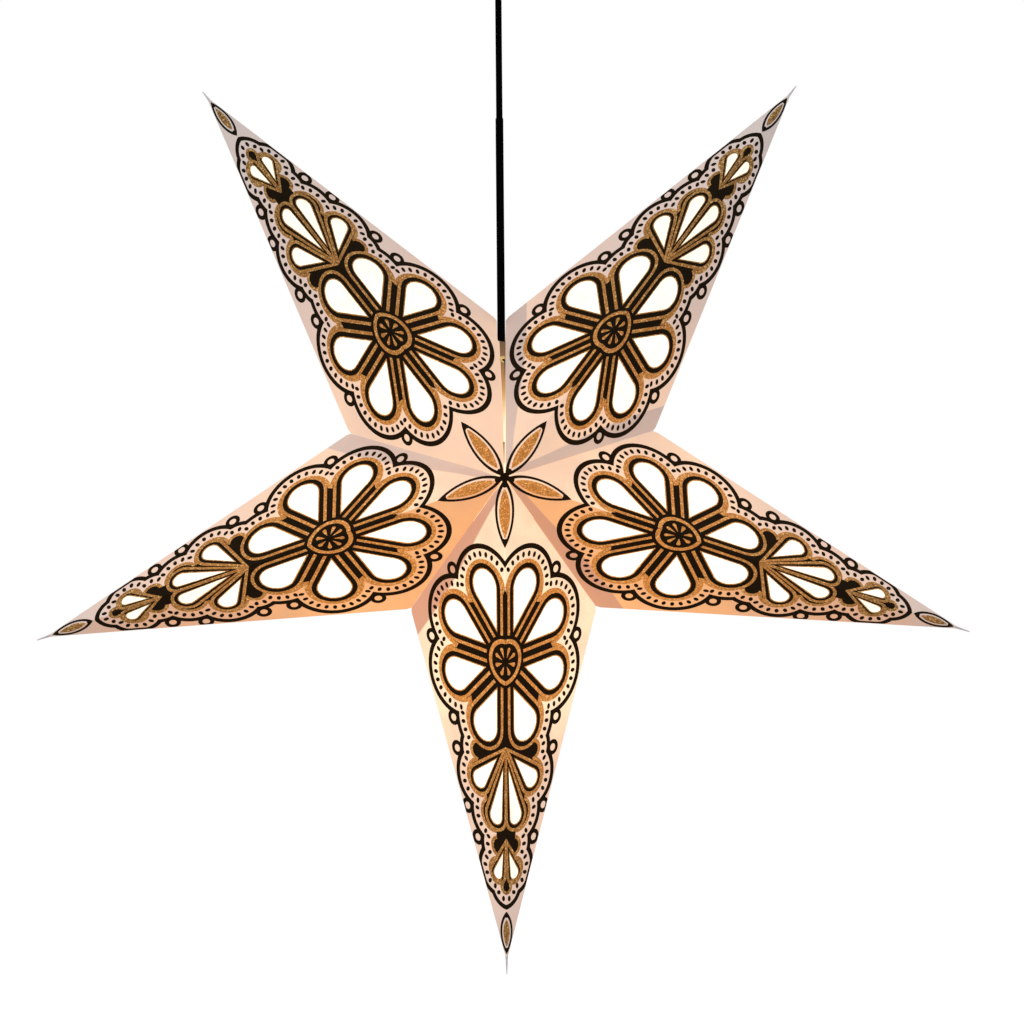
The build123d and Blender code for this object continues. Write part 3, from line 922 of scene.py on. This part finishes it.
def globe_section():
    """The opal globe: a neck that flares into a ball."""
    neck = [
        (0.0, -361.1), (8.2, -361.1), (8.45, -363.0), (9.4, -366.0), (10.6, -368.1), (12.1, -370.3),
        (13.6, -372.3), (15.2, -374.3), (16.7, -376.3), (18.1, -378.3), (19.3, -380.3), (20.2, -381.9),
    ]
    ball = arc(0.0, GLOBE_Z, GLOBE_R, GLOBE_R, 21.7, -90, 22)[:-1]
    return neck + ball + [(0.0, GLOBE_Z - GLOBE_R)]


def skirt_section():
    """The lampholder's skirt: a tube with five grooves."""
    tube = [(12.7, -337.5), (11.5, -337.5), (11.5, -365.5), (14.0, -365.5), (HOLDER_R, -364.9)]
    for k in range(5):
        z = -362.0 + 3.2 * k
        tube += [(HOLDER_R, z), (GROOVE_R, z + 0.4), (GROOVE_R, z + 1.4), (HOLDER_R, z + 1.8)]
    return tube + [(HOLDER_R, HOLDER_JOINT), (12.7, HOLDER_JOINT)]


def cap_section():
    """The lampholder's cap: a collar, a dome, a groove and the room inside."""
    collar = [(4.0, -312.5), (4.0, -309.5), (8.7, -309.5), (9.5, -310.0)]
    dome = [(11.0, -312.4), (12.6, -315.3), (13.8, -318.0), (14.4, -320.2), (HOLDER_R, -321.2)]
    groove = [(HOLDER_R, -327.6), (GROOVE_R, -328.0), (GROOVE_R, -329.1), (HOLDER_R, HOLDER_JOINT)]
    room = [(12.7, HOLDER_JOINT), (12.7, -320.5), (8.99, -320.5), (8.99, -312.5)]
    return collar + dome + groove + room


# The stage


def lay_floor():
    """A pale round floor, white to the camera and open from below."""
    deselect()
    bpy.ops.mesh.primitive_circle_add(
        vertices=128, radius=FLOOR_R, fill_type="NGON", location=(0, 0, FLOOR_Z)
    )
    floor = bpy.context.view_layer.objects.active
    floor.name = "floor"
    made, tree, shader = material("pale_floor")
    surface(shader, Base_Color=(0.86, 0.86, 0.86, 1), Roughness=0.8, Emission_Strength=1.0)
    camera_ray = tree.nodes.new("ShaderNodeLightPath").outputs["Is Camera Ray"]
    tree.links.new(product(tree, camera_ray, FLOOR_GLOW), shader.inputs["Emission Color"])
    below = tree.nodes.new("ShaderNodeNewGeometry").outputs["Backfacing"]
    tree.links.new(maths(tree, "SUBTRACT", 1.0, below), shader.inputs["Alpha"])
    floor.data.materials.append(made)


def background(tree, colour, strength):
    """One background of the world."""
    made = tree.nodes.new("ShaderNodeBackground")
    made.inputs["Color"].default_value = (*colour, 1)
    made.inputs["Strength"].default_value = strength
    return made.outputs["Background"]


def light_world(scene):
    """A soft even light, white where the camera or a reflection sees it."""
    world = bpy.data.worlds.new("studio")
    scene.world = world
    world.use_nodes = True
    tree = world.node_tree
    tree.nodes.clear()
    rays = tree.nodes.new("ShaderNodeLightPath").outputs
    seen = maths(tree, "MAXIMUM", rays["Is Camera Ray"], rays["Is Glossy Ray"])
    seen = maths(tree, "MAXIMUM", seen, rays["Is Transmission Ray"])
    mix = tree.nodes.new("ShaderNodeMixShader")
    out = tree.nodes.new("ShaderNodeOutputWorld")
    tree.links.new(seen, mix.inputs["Fac"])
    tree.links.new(background(tree, FILL_COLOUR, FILL_STRENGTH), mix.inputs[1])
    tree.links.new(background(tree, (1, 1, 1), 1.0), mix.inputs[2])
    tree.links.new(mix.outputs[0], out.inputs["Surface"])


def hang_key(scene):
    """One wide light from the upper left, in front."""
    lamp = bpy.data.lights.new("key", "AREA")
    lamp.energy = KEY_POWER
    lamp.size = KEY_SIZE
    key = bpy.data.objects.new("key", lamp)
    scene.collection.objects.link(key)
    middle = MIDDLE * MM
    key.location = middle + Vector(KEY_FROM_MIDDLE)
    key.rotation_euler = (middle - key.location).to_track_quat("-Z", "Y").to_euler()


def set_camera(scene):
    """The photograph's own view."""
    far = scene.star_sizes.camera_distance
    lens_data = bpy.data.cameras.new("camera")
    lens_data.sensor_width = SENSOR
    lens_data.lens = SENSOR * far / (PHOTO_PIXELS / PIXELS_PER_MM * MM)
    lens_data.clip_end = 50.0
    camera = bpy.data.objects.new("camera", lens_data)
    scene.collection.objects.link(camera)
    aim = MIDDLE * MM + Vector(AIM_FROM_MIDDLE)
    yaw = radians(CAMERA_YAW)
    camera.location = aim + Vector((sin(yaw) * far, -cos(yaw) * far, 0))
    turn = (aim - camera.location).to_track_quat("-Z", "Y").to_matrix()
    camera.rotation_euler = (turn @ Matrix.Rotation(radians(CAMERA_ROLL), 3, "Z")).to_euler()
    scene.camera = camera
    scene.view_settings.view_transform = "Standard"


# Operators


class STAR_OT_papers(bpy.types.Operator):
    """Give the card panels and their tissue their papers"""

    bl_idname = "star.papers"
    bl_label = "Card and tissue"

    def execute(self, context):
        colours = context.scene.star_colours
        card = card_material(colours)
        tissue = tissue_material(colours)
        for name in NODES:
            if name.endswith("_panel"):
                finished(NODES[name], card)
            elif name.endswith("_tissue"):
                finished(NODES[name], tissue)
        return {"FINISHED"}


class STAR_OT_ink(bpy.types.Operator):
    """Print the black ink on every panel"""

    bl_idname = "star.ink"
    bl_label = "Black print"

    def execute(self, context):
        sizes = context.scene.star_sizes
        gap = sizes.border_gap / MM
        line = sizes.border_line / MM
        dot = sizes.dot_size / MM
        loops = [closed_on_ridge(lobe_chain(-INK_UNDER_GOLD))]
        loops += [window_loop(shape, 0.0) for shape in DROPS]
        outer = inside_edge(lobe_chain(gap + line), BORDER_ROOM[0])
        inner = inside_edge(lobe_chain(gap), BORDER_ROOM[1])
        loops.append(outer + inner[::-1])
        dot_line = inside_edge(lobe_chain(gap * 0.5, DOTS_FROM_RIDGE), DOT_ROOM)
        for u, v, turn in along(dot_line, sizes.dot_pitch / MM):
            loops.append(spot(u, v, turn + 90, dot * 1.3, dot * 0.9))
        loops += [half_frame(*leaf) for leaf in RIDGE_LEAVES]
        lines = plate("ink", loops, SUNK, INK_TOP)
        rings = [above(spot(1.0, 0, 0, 3.2, 3.2, 20))]
        for u, v in spaced(hollows(gap + line, RING_AWAY), RING_APART):
            if edge_room(u, v) > RING_LEAST_ROOM:
                for radius, room, sides in RING_LINES:
                    rings.append(inside_edge(spot(u, v, 0, radius, radius, sides), room))
        hub = plate("ink_hub", [above(spot(ROSE_U, 0, 0, HUB_R, HUB_R, 48))], INK_TOP - OVERLAP, HUB_TOP)
        master = joined([lines, plate("ink_rings", rings, SUNK, RING_TOP), hub])
        copy_to_panels(master, "ink", ink_material(context.scene.star_colours))
        return {"FINISHED"}


class STAR_OT_gold(bpy.types.Operator):
    """Print the gold glitter over the ink on every panel"""

    bl_idname = "star.gold"
    bl_label = "Gold print"

    def execute(self, context):
        sizes = context.scene.star_sizes
        band = sizes.gold_band / MM
        ink = sizes.ink_band / MM
        low = INK_TOP - OVERLAP
        rim = lobe_chain(0.0) + lobe_chain(-band)[::-1]
        pieces = [plate("gold", [rim], low, GOLD_TOP)]
        for k, shape in enumerate(DROPS, 1):
            around = ink * {ROSE_DROP[2]: 1.0, LEAVES[-1][4]: 0.5}.get(shape[4], 0.72)
            line = [window_loop(shape, around + band * 0.9), window_loop(shape, around)]
            pieces.append(plate("gold_line", line, low, GOLD_TOP + 0.001 * k))
        fringes = []
        for shape in DROPS:
            fringes += [window_loop(shape, FRINGE), window_loop(shape, 0.0)]
        for (centre, *_), (length, width) in zip(RIDGE_LEAVES, LEAF_GOLD):
            fringes.append(above([(centre + x, y) for x, y in lens(length, width)]))
        pieces.append(plate("gold_fringe", fringes, SUNK, GOLD_TOP - 0.01))
        hub = [half_circle(ROSE_U, HUB_RING[0]) + half_circle(ROSE_U, HUB_RING[1])[::-1]]
        for turn in ROSE_TURNS:
            hub.append(on_ray(ROSE_U, turn, HUB_DROP[0], drop(*HUB_DROP[1:], 8)))
        pieces.append(plate("gold_hub", hub, HUB_TOP - 0.02, HUB_TOP + 0.03))
        master = joined(pieces)
        cut_at_ridge(master)
        copy_to_panels(master, "gold", gold_material(context.scene.star_colours))
        return {"FINISHED"}


class STAR_OT_needles(bpy.types.Operator):
    """Draw the paper's tips out to needles"""

    bl_idname = "star.needles"
    bl_label = "Needle tips"

    def execute(self, context):
        paper = needle_material(context.scene.star_colours)
        for point, (azimuth, side, _) in POINTS.items():
            away = Vector((cos(radians(azimuth)), 0, sin(radians(azimuth))))
            start = TIP_R - NEEDLE_ROOT
            length = NEEDLES[point] + NEEDLE_ROOT
            deselect()
            bpy.ops.mesh.primitive_cone_add(
                vertices=8, radius1=NEEDLE_R[0] * MM, radius2=NEEDLE_R[1] * MM, depth=length * MM,
                location=(MIDDLE + away * (start + length / 2)) * MM,
                rotation=away.to_track_quat("Z", "Y").to_euler(),
            )
            needle = context.view_layer.objects.active
            needle.name = f"{point}_needle"
            bpy.ops.object.transform_apply(location=True, rotation=True, scale=True)
            opened(needle)
            bpy.ops.mesh.subdivide(number_cuts=3)
            bpy.ops.mesh.vertices_smooth(factor=0.5, repeat=2)
            shut()
            bpy.ops.object.shade_smooth_by_angle(angle=radians(50))
            finished(needle, paper)
            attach(needle, f"{point}_front_{side}")
        return {"FINISHED"}


class STAR_OT_flex(bpy.types.Operator):
    """Hang the flex and its sleeve"""

    bl_idname = "star.flex"
    bl_label = "Flex and sleeve"

    def execute(self, context):
        low = CORD_LOW * MM
        high = CORD_TOP * MM
        dark = tuple(context.scene.star_colours.flex)
        sheath = plain_material("flex_sheath", dark, scaled(dark, 2.5, 2.5, 2.5), 0.8, specular=0.0)
        curve = bpy.data.curves.new("flex", "CURVE")
        curve.dimensions = "3D"
        curve.bevel_depth = CORD_R * MM
        curve.bevel_resolution = 6
        curve.use_fill_caps = True
        spline = curve.splines.new("NURBS")
        spline.points.add(3)
        for k, point in enumerate(spline.points):
            point.co = (0.0, 0.0, high + (low - high) * k / 3, 1.0)
        spline.order_u = 3
        spline.use_endpoint_u = True
        flex = bpy.data.objects.new("flex", curve)
        context.scene.collection.objects.link(flex)
        curve.materials.append(sheath)
        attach(flex, "hanging_set")
        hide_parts("cord")
        bottom = SLEEVE_LOW * MM
        top = SLEEVE_TOP * MM
        deselect()
        bpy.ops.mesh.primitive_cylinder_add(
            vertices=40, radius=SLEEVE_R * MM, depth=top - bottom, location=(0, 0, (top + bottom) / 2)
        )
        sleeve = context.view_layer.objects.active
        sleeve.name = "flex_sleeve"
        bpy.ops.object.transform_apply(location=True, rotation=True, scale=True)
        bpy.ops.object.mode_set(mode="EDIT")
        bpy.ops.mesh.select_all(action="DESELECT")
        shut()
        for face in sleeve.data.polygons:
            face.select = abs(face.normal.z) > 0.9
        bpy.ops.object.mode_set(mode="EDIT")
        bpy.ops.mesh.inset(thickness=SLEEVE_LIP * MM)
        shut()
        eased(sleeve)
        finished(sleeve, sheath)
        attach(sleeve, "hanging_set")
        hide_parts("cord_sleeve")
        return {"FINISHED"}


class STAR_OT_fittings(bpy.types.Operator):
    """Give the lampholder, the bulb, the ceiling end and the eyelets their finishes"""

    bl_idname = "star.fittings"
    bl_label = "Fittings"

    def execute(self, context):
        black = plain_material("black_plastic", *BLACK)
        near_lamp = warmed_by_lamp(plain_material("black_plastic_by_lamp", *BLACK))
        ivory = plain_material("ivory_moulding", (0.62, 0.58, 0.46), (0.72, 0.68, 0.56), 0.5)
        steel = plain_material("zinc_plate", (0.42, 0.42, 0.44), (0.62, 0.62, 0.64), 0.35, 1.0, 120.0)
        brass = plain_material("brass", (0.55, 0.36, 0.12), (0.78, 0.56, 0.24), 0.28, 1.0, 500.0)
        aluminium = plain_material("pressed_aluminium", (0.6, 0.6, 0.6), (0.8, 0.8, 0.8), 0.3, 1.0, 400.0)
        porcelain = plain_material("unglazed_porcelain", (0.7, 0.69, 0.64), (0.82, 0.8, 0.76), 0.6)
        opal = plain_material("opal_glass", (0.8, 0.75, 0.62), (0.9, 0.85, 0.72), 0.2,
                              emission=(1.0, 0.85, 0.55))
        string = plain_material("tie_string", (0.01, 0.01, 0.01), (0.03, 0.03, 0.03), 0.9,
                                scale=1500.0, bump_strength=0.6)
        cup = spun("ceiling_cup_shell", cup_section(), 96)
        fitted(cup, black, "cup", "black_plastic", "ceiling_cup")
        nipple = spun("cup_grip_nipple", grip_section(), 56)
        fitted(nipple, black, "cup", "black_plastic", "cup_grip")
        globe = spun("bulb_opal_globe", globe_section(), 64)
        fitted(globe, opal, "bulb", "opal_glass", "bulb_globe")
        skirt = spun("lampholder_skirt_shell", skirt_section(), 64)
        fitted(skirt, near_lamp, "hanging_set", "black_plastic", "lampholder_skirt")
        cap = spun("lampholder_cap_shell", cap_section(), 64)
        fitted(cap, black, "hanging_set", "black_plastic", "lampholder_cap")
        finishes = {
            "ceiling_bracket": steel, "terminal_block": ivory, "cord_clamp": black, "clamp_screws": steel,
            "lampholder_grip": black, "lampholder_insert": porcelain, "screw_shell": brass,
            "centre_contact": brass, "bulb_base": aluminium, "front_eyelet": brass, "back_eyelet": brass,
            "front_tie_string": string, "back_tie_string": string,
        }
        for name, finish in finishes.items():
            finished(NODES[name], finish)
            take(NODES[name])
            bpy.ops.object.shade_smooth_by_angle(angle=SHARP)
        deselect()
        return {"FINISHED"}


class STAR_OT_stage(bpy.types.Operator):
    """Set up the floor, the light and the camera"""

    bl_idname = "star.stage"
    bl_label = "Stage"

    def execute(self, context):
        lay_floor()
        light_world(context.scene)
        hang_key(context.scene)
        set_camera(context.scene)
        return {"FINISHED"}


class STAR_PT_panel(bpy.types.Panel):
    """Everything that dresses the star"""

    bl_label = "Paper star lantern"
    bl_space_type = "VIEW_3D"
    bl_region_type = "UI"
    bl_category = "Star"

    def draw(self, context):
        layout = self.layout
        for group in (context.scene.star_sizes, context.scene.star_colours):
            for name in group.bl_rna.properties.keys():
                if name not in ("rna_type", "name"):
                    layout.prop(group, name)
        for operator in STEPS:
            layout.operator(operator.bl_idname)


STEPS = (
    STAR_OT_stage, STAR_OT_flex, STAR_OT_papers, STAR_OT_ink,
    STAR_OT_gold, STAR_OT_needles, STAR_OT_fittings,
)
CLASSES = (StarSizes, StarColours, *STEPS, STAR_PT_panel)


def register():
    """Add the classes and the scene's settings."""
    for item in CLASSES:
        bpy.utils.register_class(item)
    bpy.types.Scene.star_sizes = PointerProperty(type=StarSizes)
    bpy.types.Scene.star_colours = PointerProperty(type=StarColours)


def unregister():
    """Take them away again."""
    del bpy.types.Scene.star_colours
    del bpy.types.Scene.star_sizes
    for item in reversed(CLASSES):
        bpy.utils.unregister_class(item)


def main():
    """Dress the star."""
    register()
    bpy.ops.star.stage()
    bpy.ops.star.flex()
    bpy.ops.star.papers()
    bpy.ops.star.ink()
    bpy.ops.star.gold()
    bpy.ops.star.needles()
    bpy.ops.star.fittings()


if __name__ == "__main__":
    main()
